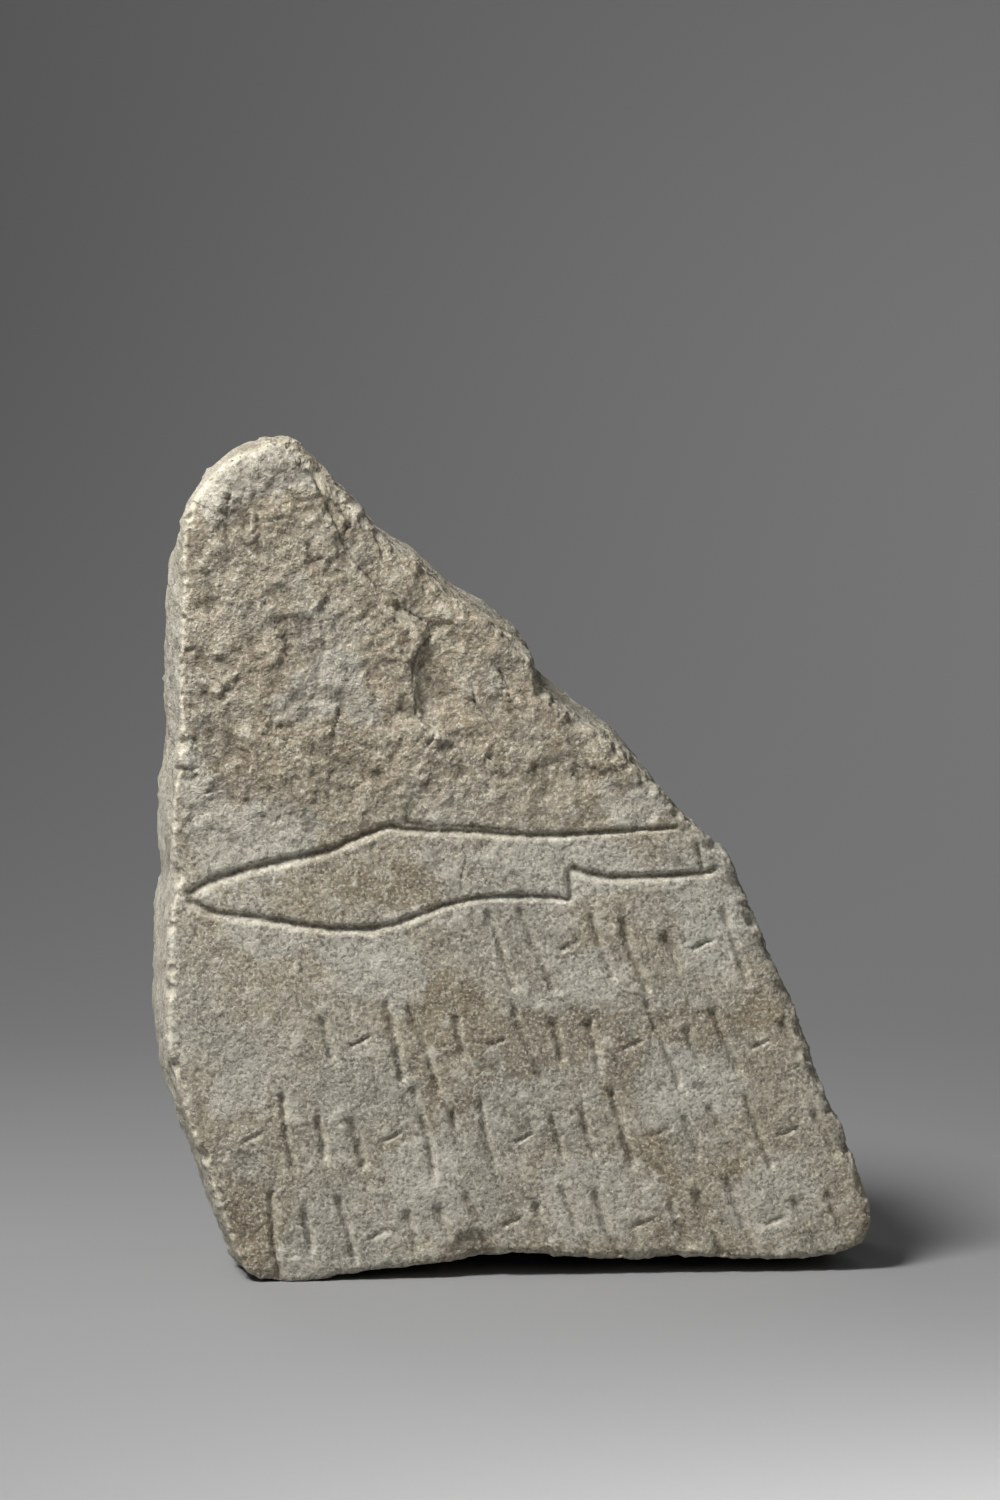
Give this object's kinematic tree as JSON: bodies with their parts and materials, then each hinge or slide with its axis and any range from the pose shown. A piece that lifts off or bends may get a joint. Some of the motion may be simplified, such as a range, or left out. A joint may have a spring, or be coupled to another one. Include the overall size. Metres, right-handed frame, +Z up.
{
  "type": "votive stele fragment",
  "caption": "Irregular fragment of a limestone slab with an incised knife above rows of worn strokes, standing upright on its fractured underside.",
  "frame": {"origin": "below the middle of the bounding box, on the surface that the stone stands on", "axes": "+Z up, the carved front faces -Y, +X to the right seen from the front"},
  "size_m": [0.1702, 0.0578, 0.2001],
  "materials": {
    "limestone": "matt weathered limestone, grey-beige with brown and whitish patches, granular crust and chipped edges"
  },
  "bodies": {
    "root": {"stele": "limestone"}
  },
  "joints": []
}
